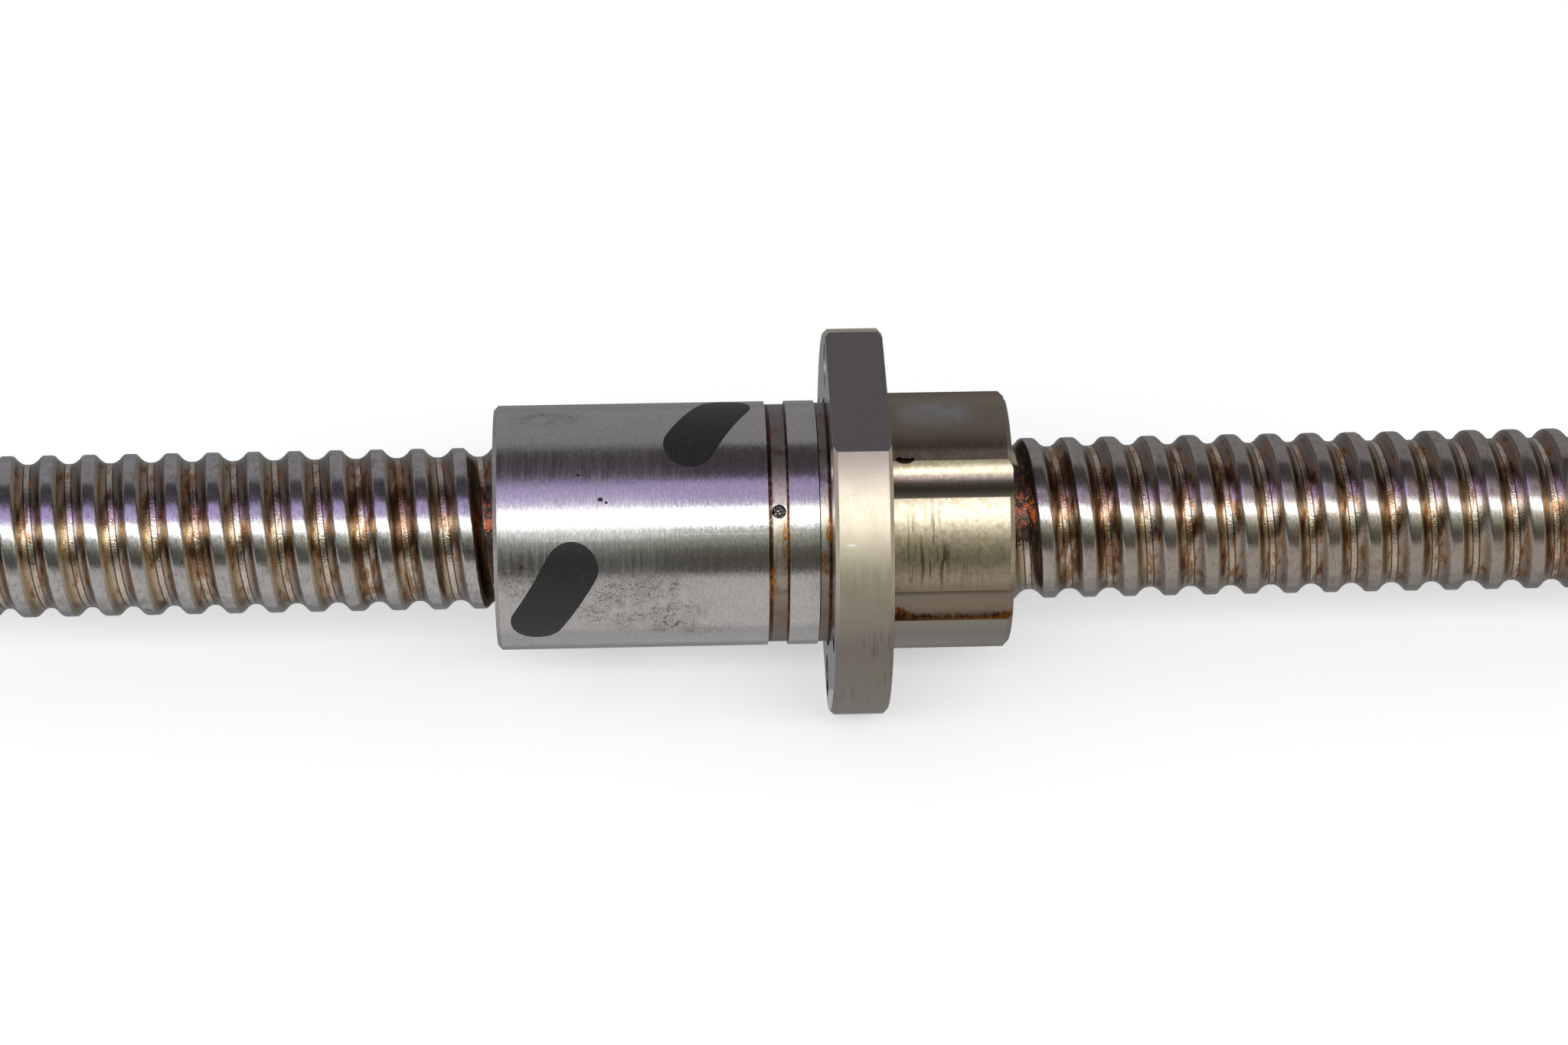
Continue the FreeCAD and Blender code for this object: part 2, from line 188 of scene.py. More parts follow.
# %% Start of a finish
class Finish:
    """A new material with its principled shader, and the place of a point in millimetres and degrees."""

    def __init__(self, name, slot):
        self.material = bpy.data.materials.new(name)
        self.material.use_nodes = True
        self.slot = slot
        tree = self.material.node_tree
        self.shader = tree.nodes["Principled BSDF"]
        self.start = Sheen(tree)
        coordinates = self.start.node("TexCoord", output="Object")
        self.place = self.start.node("VectorMath", {"operation": "SCALE"}, {0: coordinates, "Scale": 1 / MM})
        self.x, self.y, self.z = (self.start.node("SeparateXYZ", {}, {0: self.place}, axis) for axis in "XYZ")
        across = self.start.node("CombineXYZ", {}, {1: self.y, 2: self.z})
        self.radius = self.start.node("VectorMath", {"operation": "LENGTH"}, {0: across}, "Value")
        self.turns = self.start.maths("ARCTAN2", self.z, 0 - self.y) / math.tau
        self.angle = self.turns * 360

    def noise(self, size, detail=2.0, long_way=1.0, shift=0.0):
        """Noise from 0 to 1 with grains of a size in millimetres, drawn out long_way times round the axis."""
        drawn = self.start.node("Mapping", {}, {0: self.place, "Location": (shift, shift, shift),
                                                "Scale": (1, 1 / long_way, 1 / long_way)})
        return self.start.node("TexNoise", {}, {"Vector": drawn, "Scale": 1 / size, "Detail": detail})

    def band(self, low, high, soft=0.05):
        """A mask of the stretch of the shaft from low to high."""
        return self.x.window(low, high, soft)

    def arc(self, low, high, soft=2.0):
        """A mask of the sector from low to high degrees, which may not cross the back."""
        return self.angle.window(low, high, soft)

    def spot(self, x, angle, half_length, half_turn):
        """A soft round mask about a place on the surface, with its reach along the shaft and round it."""
        along = (self.x - x) / half_length
        around = (self.angle - angle) / half_turn
        return (along * along + around * around).between(1.0, 0.0)

    def spots(self, places):
        """Several spots in one mask, each with its strength after its place and reach."""
        return sum(self.spot(*place) * strength for *place, strength in places)

    def bump(self, height, distance, strength=1.0):
        """The normal of a surface with this height, where a height of 1 is a distance in millimetres."""
        return self.start.node("Bump", {}, {"Height": height, "Distance": distance * MM,
                                            "Strength": strength})

    def finish(self, **sockets):
        """Set or link the shader's sockets, named in small letters with low lines for spaces."""
        for name, value in sockets.items():
            socket = self.shader.inputs[name.replace("_", " ").title()]
            if isinstance(value, Sheen):
                self.start.tree.links.new(value.socket, socket)
            else:
                socket.default_value = value

    def give(self, *pieces):
        """Put the finish on pieces, in place of what they had."""
        for piece in pieces:
            piece.data.materials.clear()
            piece.data.materials.append(self.material)
        print(self.material.name, "on", ", ".join(piece.name for piece in pieces))


# %% [markdown]
# The nut is one piece of steel with four finishes. Its body is ground, so it mirrors the room with fine rings
# around it. The flange is blasted and matt. The hub is turned and has a warm, golden film of old oil on it.
# The two narrow grooves beside the flange kept their varnish. The construction's mesh stays as it is, so one
# material tells the finishes apart by masks, which are stretches of x and of radius.

# %% Nut steel
FLANGE_RIGHT = 7.0
FLAT_HEIGHT = 21.0
BODY_RADIUS = 15.0
WALL_INSIDE = 13.0
OIL_GROOVE = (-7.5, -5.0)
UNDERCUT_LEFT = -1.4

nut = Finish("nut_steel", "nut_steel")
rings = nut.noise(0.1, 2.0, long_way=8)
speckle = nut.noise(0.22, 4.0, long_way=2.5, shift=3.0)
grit = nut.noise(0.13, 2.0, shift=11.0)
cloud = nut.noise(2.6, 3.0, shift=9.0)
smudge = nut.noise(0.7, 4.0, shift=33.0)
streaks = nut.noise(0.3, 3.0, long_way=14, shift=21.0)

on_flange = nut.band(0.02, FLANGE_RIGHT, 0.02)
on_flat = on_flange * nut.start.maths("ABSOLUTE", nut.z).between(FLAT_HEIGHT - 0.05, FLAT_HEIGHT - 0.02)
on_hub = nut.x.between(FLANGE_RIGHT, FLANGE_RIGHT + 0.04)
below_body = nut.radius.between(BODY_RADIUS - 0.08, BODY_RADIUS - 0.16)
in_groove = below_body * nut.band(OIL_GROOVE[0] - 0.1, 0.15)
groove_edges = (nut.band(OIL_GROOVE[0] - 0.1, OIL_GROOVE[0] + 0.5, 0.15)
                + nut.band(OIL_GROOVE[1] - 0.3, OIL_GROOVE[1] + 0.04, 0.12)
                + nut.band(UNDERCUT_LEFT - 0.05, UNDERCUT_LEFT + 0.15, 0.08) + nut.band(-0.3, 0.2, 0.15))
inside = nut.radius.between(WALL_INSIDE + 0.1, WALL_INSIDE - 0.1)
print("masks for the body, the flange, the hub and the narrow grooves")

# %% [markdown]
# Used steel gets its colour from many thin coats: a bright ground, then stains, scratches and pits. Each coat
# is a mask and a colour, laid over the ones before it. Marks that lie at one place are spots with a place and
# a reach, listed as x, angle, half length, half turn and strength. Noise breaks up their outlines.

# %% Colour of the body
BODY_STAINS = ((-23, 2, 10, 22, 1.0), (-37.5, 17, 3.5, 14, 0.8), (-34, 103, 6, 9, 0.8),
               (-17, -14, 6, 9, 0.7))
BODY_PITS = ((-27.6, 54, 0.45, 1.3, 1.0), (-26.9, 52.5, 0.25, 0.9, 1.0))

brown_specks = grit.between(0.52, 0.62) * 0.7 + smudge.between(0.5, 0.75) * 0.5
brown_stains = nut.spots(BODY_STAINS) * brown_specks * cloud.between(0.3, 0.55)
fine_line = nut.spot(-11, 37.2, 9, 0.35) * streaks.between(0.3, 0.5)
pits = nut.spots(BODY_PITS) + nut.spot(-30.2, 66, 0.5, 1.2) * grit
body_colour = paint(
    speckle.between(0.3, 0.75).tint(rgb(0.52, 0.51, 0.51), rgb(0.64, 0.63, 0.63)),
    (brown_stains * 1.8, rgb(0.15, 0.09, 0.05)),
    (fine_line, rgb(0.85, 0.83, 0.76)),
    (pits.between(0.3, 0.5), rgb(0.05, 0.035, 0.03)))
print("stains on the body:", len(BODY_STAINS))

# %% Colour of the flange
FLANGE_PAINTED_SHADE = (14, 0)
FLANGE_SMUDGES = ((5, 4, 2.5, 7, 1.0), (6, -11, 1.8, 4, 1.0), (2.5, -20, 3, 7, 0.6))

smudges = nut.spots(FLANGE_SMUDGES) * streaks.between(0.45, 0.65)
scratch = nut.spot(1.9, 35, 0.9, 0.35).between(0.2, 0.5)
# The flange is darker from its middle downwards: painted shade.
flange_colour = paint(
    cloud.between(0.25, 0.75).tint(rgb(0.73, 0.66, 0.50), rgb(0.79, 0.72, 0.57)),
    (nut.z.between(*FLANGE_PAINTED_SHADE), rgb(0.27, 0.25, 0.22)),
    (grit.between(0.6, 0.75) * 0.4, rgb(0.30, 0.26, 0.22)),
    (smudges * 0.5, rgb(0.13, 0.10, 0.09)),
    (on_flat, rgb(0.28, 0.26, 0.262)),
    (scratch, rgb(0.95, 0.94, 0.92)))
print("smudges on the flange:", len(FLANGE_SMUDGES))

# %% [markdown]
# The oil film on the hub is golden, and shows so where the hub faces the front. Painted shade makes it brown
# on top, dark in the lower half of the upper flute, and grey underneath, so those coats are sectors of the
# angle. In the lower flute old grease has run together: it is thickest beside the flange, and noise makes its
# upper edge uneven.

# %% Colour of the hub
HUB_TOP_PAINTED_SHADE = (74, 170)
FLUTE_WALL_PAINTED_SHADE = (51.5, 60.5)
HUB_UNDERSIDE_PAINTED_SHADE = (-165, 14)
HUB_BOTTOM_PAINTED_SHADE = (-165, -9)
LOWER_FLUTE = (-8.6, 8)
FLUTE_FLOOR = LOWER_FLUTE[0]
HUB_STREAKS = ((11.3, 29, 4.2, 24, 1.0), (15, 20, 6, 14, 0.5))

hub_streaks = streaks.between(0.5, 0.66) * nut.spots(HUB_STREAKS)
crescent_hollow = nut.spot(9.3, 71.5, 1.6, 2.2).between(0.7, 0.4)
crescent = nut.spot(9.0, 69.5, 1.5, 2.4).between(0.25, 0.5) * crescent_hollow
heap_height = cloud * 4.5 + smudge * 3 - streaks * 3 + nut.x.between(11, 7.5) * 4
heap = (nut.angle - FLUTE_FLOOR - heap_height).between(0.4, -1.4) * nut.arc(*LOWER_FLUTE, 0.4)
amber_rim = nut.arc(FLUTE_FLOOR + 0.1, FLUTE_FLOOR + 0.8, 0.3) * nut.x.between(9, 13)
amber = heap * smudge.between(0.52, 0.6) + amber_rim
# Painted shade: darker on top, in the lower half of the upper flute and underneath.
hub_colour = paint(
    speckle.between(0.3, 0.7).tint(rgb(0.60, 0.53, 0.39), rgb(0.69, 0.62, 0.48)),
    (smudge.between(0.45, 0.65) * 0.5, rgb(0.44, 0.34, 0.19)),
    (grit.between(0.62, 0.7) * cloud.between(0.4, 0.6) * 0.7, rgb(0.20, 0.13, 0.07)),
    (nut.arc(*HUB_TOP_PAINTED_SHADE), rgb(0.30, 0.26, 0.19)),
    (nut.spot(13, 97, 6, 13) * cloud.between(0.2, 0.6), rgb(0.38, 0.38, 0.39)),
    (nut.arc(*FLUTE_WALL_PAINTED_SHADE, 1.5), rgb(0.25, 0.235, 0.16)),
    (nut.arc(*HUB_UNDERSIDE_PAINTED_SHADE, 7), rgb(0.28, 0.235, 0.18)),
    (nut.arc(*HUB_BOTTOM_PAINTED_SHADE, 0.8), rgb(0.32, 0.295, 0.265)),
    (hub_streaks * 0.75, rgb(0.16, 0.10, 0.06)),
    (crescent, rgb(0.05, 0.025, 0.015)),
    (heap, rgb(0.11, 0.04, 0.02)),
    (amber * 0.65, rgb(0.40, 0.17, 0.05)))
# The golden front lies between the painted shade of the flute wall and that of the underside.
print("golden film on the hub from", FLUTE_WALL_PAINTED_SHADE[0], "down to", HUB_UNDERSIDE_PAINTED_SHADE[1], "degrees")

# %% [markdown]
# The oil groove and the undercut are hard to wipe, so they kept brown varnish along their edges and a little
# rust at the front. The four colours then come together by the masks of the finishes.

# %% Colour of the narrow grooves, and all together
GROOVE_UNDERSIDE_PAINTED_SHADE = (-160, 12)
GROOVE_TOP_PAINTED_SHADE = (78, 170)
GROOVE_RUST = ((-5.4, 33, 0.7, 16, 1.0), (-0.3, 37, 0.55, 9, 1.0), (-0.8, 22, 0.8, 8, 1.0),
               (-7.0, 12, 0.6, 14, 1.0))

# Painted shade: the narrow grooves are darker underneath and on top.
groove_colour = paint(
    speckle.between(0.3, 0.7).tint(rgb(0.52, 0.48, 0.39), rgb(0.66, 0.62, 0.52)),
    (nut.arc(*GROOVE_UNDERSIDE_PAINTED_SHADE, 18), rgb(0.25, 0.20, 0.155)),
    (nut.arc(*GROOVE_TOP_PAINTED_SHADE, 10), rgb(0.26, 0.23, 0.22)),
    (cloud.between(0.5, 0.65) * 0.7, rgb(0.20, 0.14, 0.10)),
    (groove_edges * (0.4 + smudge * 1.2), rgb(0.07, 0.03, 0.015)),
    (nut.spots(GROOVE_RUST) * speckle.between(0.35, 0.6), rgb(0.38, 0.14, 0.025)))
nut_colour = paint(body_colour, (on_flange, flange_colour), (on_hub, hub_colour), (in_groove, groove_colour),
                   (inside, rgb(0.10, 0.07, 0.05)))
print("rust spots in the narrow grooves:", len(GROOVE_RUST))

# %% [markdown]
# Gloss tells the finishes apart more than colour does. The ground body is the smoothest, and duller at its
# left half, where it was handled most. The flange is the roughest. The rings of grinding are a bump, too fine
# to be modelled, and the blasted flange has grit in their place.

# %% Nut gloss
HANDLED_SIDE = (-14, -26)

used_side = nut.x.between(*HANDLED_SIDE)
nut_roughness = (0.05 + streaks * (0.16 + used_side * 0.14) + rings * 0.1
                 + on_flange * 0.27 + on_hub * 0.13 + in_groove * 0.12)
nut_height = (rings * (3.2 - on_flange * 2.8) + grit * (0.4 + on_flange * 1.6) + speckle * 0.6
              + streaks * (2 - on_flange * 2))
nut.finish(base_color=nut_colour, roughness=nut_roughness, metallic=1.0,
           normal=nut.bump(nut_height, 0.012, 0.6))
nut.give(nodes["ball_nut"])

# %% [markdown]
# The shaft's groove winds round it like a spring. Its outline is a pointed arch: two arcs that a ball touches
# at two places, with a flat strip between them. Where the arch meets the land there is a small slope, and
# grinding leaves all edges soft, so the smallest of the three radii is taken with a soft minimum. The
# deflectors stand on lands, which gives the place of the groove along the shaft.

# %% Outline of the shaft
LEAD = 5.0
SCREW_RADIUS = 9.9
BALL_PATH_RADIUS = 10.5
ARCH_RADIUS = 1.7375
ARCH_OFFSET = 0.07
STRIP_HALF = 0.35
SLOPE_START = 1.78
SLOPE_END = 1.2
EDGE_SOFTNESS = 0.06
FIRST_DEFLECTOR_ANGLE = 7.0

first_land_x = sum(corner.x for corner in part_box("deflector_1")) / 2 / MM


def groove_place(angle):
    """Where the middle of the groove crosses an angle round the axis, on one of its turns."""
    return first_land_x + LEAD / 2 - LEAD * (angle - FIRST_DEFLECTOR_ANGLE) / 360


def shaft_radius(offset):
    """The shaft's radius at a distance along the axis from the middle of its groove."""
    reach = min(max(abs(offset), STRIP_HALF) + ARCH_OFFSET, ARCH_RADIUS)
    arch = BALL_PATH_RADIUS - math.sqrt(ARCH_RADIUS ** 2 - reach ** 2)
    slope = SCREW_RADIUS + max(abs(offset), SLOPE_END) - SLOPE_START
    depths = (0, SCREW_RADIUS - slope, SCREW_RADIUS - arch)
    return SCREW_RADIUS - EDGE_SOFTNESS * math.log(sum(math.exp(depth / EDGE_SOFTNESS) for depth in depths))


print("groove bottom", round(shaft_radius(0), 2), "mm from the axis, first land at", round(first_land_x, 2))

# %% [markdown]
# The lands were ground and stay bright. In the groove the balls polished a strip at the bottom, thin dark
# lines border it, and both flanks are brown with varnish and amber grease. How far a point lies from the
# middle of the groove tells them apart: the fraction of a turn that x and the angle add up to. The whole
# number of turns picks out single turns, such as those beside the nut, which are wet with grease.

# %% Screw steel
THREAD_LEFT, THREAD_RIGHT = -106.0, 120.0
WET_TURNS = ((-5, -4, 1.0), (12, 13, 1.0), (15, 16, 0.7), (-9, -9, 0.4), (18, 18, 0.3))

screw = Finish("screw_steel", "screw_steel")
turn_count = screw.x / LEAD + screw.turns + (0.5 - groove_place(0) / LEAD)
turn_number = screw.start.maths("FLOOR", turn_count)
offset = (screw.start.maths("FRACT", turn_count) - 0.5) * LEAD
off_middle = screw.start.maths("ABSOLUTE", offset)
threaded = screw.band(THREAD_LEFT, THREAD_RIGHT, 0.1)
in_thread = off_middle.between(1.6, 1.25) * threaded
on_strip = off_middle.between(STRIP_HALF + 0.02, STRIP_HALF - 0.02) * threaded
border = off_middle.between(0.27, 0.34) * off_middle.between(0.52, 0.44) * threaded
left_flank = offset.between(-STRIP_HALF, -0.5)
right_flank = offset.between(STRIP_HALF, 0.5)
wet = sum(turn_number.window(first - 0.5, last + 0.5, 0.1) * strength for first, last, strength in WET_TURNS)
print("wet turns, counted from the first deflector:", [turns[:2] for turns in WET_TURNS])

# %% Noise on the shaft
SCRATCH_SLANT = math.radians(38)
SCRATCH_STRETCH = 0.12

grind = screw.noise(0.1, 2.0, long_way=8)
spots = screw.noise(0.25, 4.0, shift=5.0)
patches = screw.noise(1.9, 4.0, long_way=1.6, shift=13.0)
crumbs = screw.noise(0.16, 3.0, shift=31.0)
mood = screw.noise(3.4, 2.0, long_way=2.2, shift=47.0)
wear = screw.noise(1.1, 3.0, shift=23.0)
smears = screw.noise(0.8, 3.0, long_way=3.5, shift=53.0)
unrolled = screw.start.node("CombineXYZ", {}, {0: screw.x,
                                               1: screw.angle * (math.radians(1) * SCREW_RADIUS)})
slanted = screw.start.node("Mapping", {}, {0: unrolled, "Rotation": (0, 0, SCRATCH_SLANT),
                                           "Scale": (1, SCRATCH_STRETCH, 1)})
scratches = screw.start.node("TexNoise", {}, {"Vector": slanted, "Scale": 7.0, "Detail": 2.0})
print("scratches lie at", round(math.degrees(SCRATCH_SLANT)), "degrees")

# %% Colour of the lands
YELLOWED_END = (5, 45)

land_stains = patches.between(0.55, 0.7) * crumbs.between(0.42, 0.6)
land_scratches = scratches.between(0.55, 0.64) * wear.between(0.4, 0.55)
land_colour = paint(
    spots.between(0.3, 0.8).tint(rgb(0.52, 0.51, 0.51), rgb(0.63, 0.62, 0.61)),
    (wear.between(0.45, 0.7) * 0.5, rgb(0.40, 0.38, 0.36)),
    (screw.x.between(*YELLOWED_END) * 0.7, rgb(0.48, 0.44, 0.395)),
    (land_stains * 0.7, rgb(0.22, 0.15, 0.10)),
    (land_scratches * 0.6, rgb(0.24, 0.21, 0.19)))
print("lands are", round(LEAD - 2 * SLOPE_START, 2), "mm wide")

# %% [markdown]
# The two flanks differ: the left one holds a golden film of oil, with a painted golden sheen where it faces
# the lamp, the right one is browner, and both get painted shade on top of the shaft. Near the strip they are
# paler, where the balls run.

# %% Colour of the groove
LAMP_FACING_SIDE = (24, 68)
TOP_PAINTED_SHADE = (72, 150)

inner_flank = off_middle.between(1.2, 0.7)
# A painted golden sheen on the side that faces the lamp, and painted shade on top.
painted_sheen_side = 0.2 + screw.arc(*LAMP_FACING_SIDE, 12) * 0.8
golden = (left_flank * 0.8 + 0.2) * patches.between(0.62, 0.4) * painted_sheen_side
painted_top_shade = screw.arc(*TOP_PAINTED_SHADE, 6) * (0.3 + right_flank * 0.4)
flank_colour = paint(
    left_flank.tint(rgb(0.36, 0.305, 0.26), rgb(0.33, 0.25, 0.16)),
    (patches.between(0.45, 0.68) * 0.45, rgb(0.24, 0.17, 0.12)),
    (golden * 0.9, rgb(0.78, 0.53, 0.20)),
    (inner_flank * 0.8, left_flank.tint(rgb(0.50, 0.43, 0.38), rgb(0.58, 0.49, 0.375))),
    (mood.between(0.45, 0.65) * 0.5, rgb(0.22, 0.165, 0.125)),
    (painted_top_shade, rgb(0.14, 0.105, 0.09)))
strip_colour = paint(
    patches.between(0.35, 0.65).tint(rgb(0.80, 0.70, 0.60), rgb(0.66, 0.58, 0.49)),
    (crumbs.between(0.55, 0.62) * mood.between(0.4, 0.6), rgb(0.30, 0.13, 0.04)))
print("the strip is", 2 * STRIP_HALF, "mm wide")

# %% [markdown]
# Old grease covers parts of the groove. It is a film and not a piece: nearly black where it is thick, and
# amber at its edges, where light goes through it. A mask times its opposite is large only at its edges.

# %% Old grease in the groove
EDGE_STAIN_DARKER_TOP = (66, 150)

covered = (smears + wet * 0.12 + mood * 0.35 - 0.19).between(0.5, 0.68) * (1 - on_strip * 0.5)
thin_film = covered * (1 - covered) * 2.4
# The orange specks in the grease are painted glints.
thread_colour = paint(
    on_strip.tint(flank_colour, strip_colour),
    (border * (0.45 + spots * 0.8), rgb(0.07, 0.045, 0.03)),
    (covered * 0.9, rgb(0.10, 0.045, 0.028)),
    (thin_film, rgb(0.36, 0.19, 0.08)),
    (covered * crumbs.between(0.57, 0.66) * 0.8, rgb(0.50, 0.20, 0.05)),
    (crumbs.between(0.6, 0.68) * 0.7, rgb(0.05, 0.03, 0.02)))
# The stain at the land edges is twice as strong on top of the shaft.
edge_stain = offset.between(1.3, 1.5) * offset.between(1.78, 1.62) * threaded
edge_stain = edge_stain * (0.3 + patches * 0.5) * (1 + screw.arc(*EDGE_STAIN_DARKER_TOP, 5))
film_edge = offset.between(-1.85, -1.65) * offset.between(-1.3, -1.45) * threaded
screw_colour = paint(
    in_thread.tint(land_colour, thread_colour),
    (edge_stain, rgb(0.22, 0.18, 0.16)),
    (film_edge * 0.75, rgb(0.42, 0.345, 0.235)))
print("nodes for the colour of the shaft:", len(screw.start.tree.nodes))

# %% Gloss of the shaft
screw_roughness = 0.14 + spots * 0.16 - in_thread * 0.06
screw_height = (grind * 1.5 + crumbs * (0.4 + in_thread * 1.6) + scratches * 1.6
                + spots * (on_strip * 3 + in_thread * 1.5))
screw.finish(base_color=screw_colour, roughness=screw_roughness, metallic=1.0,
             normal=screw.bump(screw_height, 0.016, 0.6))
print("finish of the shaft has", len(screw.start.tree.nodes), "nodes")

# %% [markdown]
# The construction's shaft has sharp land edges. A bevel could soften them, but the outline above is already
# soft, so the shaft is made anew from it. A spin with a step along the axis sweeps one lead of it round once,
# and copies of that turn meet end to end. The ends are turned: a cone breaks the last threads, a plane cuts
# them square, and the rim of the cut is extruded into the shoulder, the journal and its chamfer.

# %% Tools for the shaft
STEPS_PER_TURN = 64
MERGE_DISTANCE = 1e-4
SHARP = math.radians(40)


def only_verts(parts):
    return [part for part in parts if isinstance(part, bmesh.types.BMVert)]


def everything(shape):
    return shape.verts[:] + shape.edges[:] + shape.faces[:]


def even(low, high, steps):
    """Values in even steps after low, up to high."""
    return [low + (high - low) * step / steps for step in range(1, steps + 1)]


def chain(shape, points, closed=False):
    """Vertices through points, joined by edges."""
    verts = [shape.verts.new(point) for point in points]
    pairs = list(zip(verts, verts[1:])) + ([(verts[-1], verts[0])] if closed else [])
    return verts + [shape.edges.new(pair) for pair in pairs]


def wind(shape, outline, turns):
    """Sweep an outline along the groove's helix for a turn or less."""
    steps = max(1, round(STEPS_PER_TURN * turns))
    bmesh.ops.spin(shape, geom=outline, cent=(0, 0, 0), axis=(1, 0, 0), dvec=(LEAD * turns / steps, 0, 0),
                   angle=math.tau * turns, steps=steps)


def repeat_along(shape, step, times):
    """Copy a shape along the axis, doubling what there is until there are enough copies."""
    made = 1
    while made < times:
        copied = bmesh.ops.duplicate(shape, geom=everything(shape))["geom"]
        bmesh.ops.translate(shape, vec=(step * made, 0, 0), verts=only_verts(copied))
        made *= 2
    bmesh.ops.remove_doubles(shape, verts=shape.verts, dist=MERGE_DISTANCE)


def carry_on(shape, rim, along, share):
    """Extrude an open rim along the axis, scaled about it, and give the new rim."""
    verts = only_verts(bmesh.ops.extrude_edge_only(shape, edges=rim)["geom"])
    bmesh.ops.translate(shape, verts=verts, vec=(along, 0, 0))
    bmesh.ops.scale(shape, verts=verts, vec=(1, share, share))
    touching = {edge for vert in verts for edge in vert.link_edges}
    return [edge for edge in touching if set(edge.verts) <= set(verts)]


def new_piece(name, shape, finish, body, *replaced):
    """Make a shape in millimetres a piece of the part, smooth apart from its sharp edges."""
    bmesh.ops.recalc_face_normals(shape, faces=shape.faces)
    for face in shape.faces:
        face.smooth = True
    for edge in shape.edges:
        edge.smooth = edge.calc_face_angle(0) < SHARP
    mesh = bpy.data.meshes.new(name)
    shape.to_mesh(mesh)
    shape.free()
    mesh.transform(Matrix.Scale(MM, 4))
    piece = bpy.data.objects.new(name, mesh)
    scene.collection.objects.link(piece)
    finish.give(piece)
    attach(piece, body)
    if replaced:
        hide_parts(*replaced)
    mesh.calc_loop_triangles()
    print(name, "has", len(mesh.loop_triangles), "triangles")


print("one turn is swept in", STEPS_PER_TURN, "steps")

# %% Shaft
FLANK_STEPS = 5
SOFT_EDGE = (1.15, 1.98)
EDGE_STEPS = 7
SPARE_TURNS = 3
CUT_DISTANCE = 1e-5
ON_CUT = 1e-3
JOURNAL_RADIUS = 7.5
JOURNAL_LENGTH = 22.0
JOURNAL_CHAMFER = 1.0
THREAD_CHAMFER = 1.2

half_outline = [STRIP_HALF, *even(STRIP_HALF, SOFT_EDGE[0], FLANK_STEPS), *even(*SOFT_EDGE, EDGE_STEPS)]
half_outline.append(LEAD / 2)
outline_offsets = [-value for value in reversed(half_outline)] + half_outline
first_turn = math.floor((THREAD_LEFT - groove_place(90)) / LEAD) - 1
thread_turns = 2 ** math.ceil(math.log2((THREAD_RIGHT - THREAD_LEFT) / LEAD + SPARE_TURNS))
shaft_shape = bmesh.new()
shaft_outline = chain(shaft_shape, [(groove_place(90) + first_turn * LEAD + value, 0, shaft_radius(value))
                                    for value in outline_offsets])
wind(shaft_shape, shaft_outline, 1)
repeat_along(shaft_shape, LEAD, thread_turns)
print("turns swept:", thread_turns)

# %% Ends of the shaft
for vert in shaft_shape.verts:
    from_end = min(vert.co.x - THREAD_LEFT, THREAD_RIGHT - vert.co.x)
    cone = max(SCREW_RADIUS - THREAD_CHAMFER + from_end, JOURNAL_CHAMFER)
    share = min(1, cone / vert.co.yz.length)
    vert.co.yz = vert.co.yz * share
for end, side in ((THREAD_LEFT, -1), (THREAD_RIGHT, 1)):
    bmesh.ops.bisect_plane(shaft_shape, geom=everything(shaft_shape), dist=CUT_DISTANCE,
                           plane_co=(end, 0, 0), plane_no=(side, 0, 0), clear_outer=True)
    rim = [edge for edge in shaft_shape.edges
           if edge.is_boundary and all(abs(vert.co.x - end) < ON_CUT for vert in edge.verts)]
    rim = carry_on(shaft_shape, rim, 0, JOURNAL_RADIUS / (SCREW_RADIUS - THREAD_CHAMFER))
    rim = carry_on(shaft_shape, rim, side * (JOURNAL_LENGTH - JOURNAL_CHAMFER), 1)
    rim = carry_on(shaft_shape, rim, side * JOURNAL_CHAMFER, 1 - JOURNAL_CHAMFER / JOURNAL_RADIUS)
    bmesh.ops.edgeloop_fill(shaft_shape, edges=rim)
print("open edges of the shaft:", sum(edge.is_boundary for edge in shaft_shape.edges))
new_piece("ground_shaft", shaft_shape, screw, "screw", "screw_shaft")

# %% [markdown]
# Where the shaft runs into the nut, the wipers push up amber grease. It is dark and glossy, and glows red
# where the lamp shines into it. A glass-like shader would need a thick body to glow, and the grease is thin,
# so the glow is a colour on the side that faces the lamp.

# %% Finish of the grease
LAMP_SIDE = (38, 60)

grease = Finish("amber_grease", "wiper_polymer")
lumps = grease.noise(0.5, 3.0, long_way=2.0, shift=7.0)
glints = grease.noise(0.16, 2.0, shift=2.0)
# The side that faces the lamp gets a painted red glow and painted glints.
lamp_side_glow = grease.arc(*LAMP_SIDE, 5)
painted_red_glow = lamp_side_glow * lumps.between(0.45, 0.6) * (0.5 + glints.between(0.42, 0.54) * 0.5)
grease_colour = paint(
    lumps.between(0.4, 0.7).tint(rgb(0.012, 0.006, 0.004), rgb(0.09, 0.035, 0.015)),
    (painted_red_glow, rgb(0.82, 0.10, 0.006)),
    (lamp_side_glow * glints.between(0.61, 0.67), rgb(0.95, 0.52, 0.12)))
grease.finish(base_color=grease_colour, roughness=0.08 + glints * 0.1, coat_weight=0.25,
              normal=grease.bump(glints * 0.5 + lumps * 2, 0.14, 1.0))
print("finish of the grease has", len(grease.start.tree.nodes), "nodes")

# %% [markdown]
# The grease lies in the groove as a bead. A ball of it would stick out over the lands, so the bead is a flat
# lens on the groove's own outline, wound along the helix. Noise makes it lumpy, and towards its ends it sinks
# into the steel, which leaves a ragged edge. It travels with the nut: the nut turns as it moves, so the bead
# stays in the groove.

# %% Beads of grease
GREASE_SUNK = 0.03
GREASE_FADE = 0.25
GREASE_STEPS = 8
LUMP_SHARE = 0.8
LUMP_SCALE = 1.7
BEAD_END = 0.01
CAMERA_SIDE = 42.0


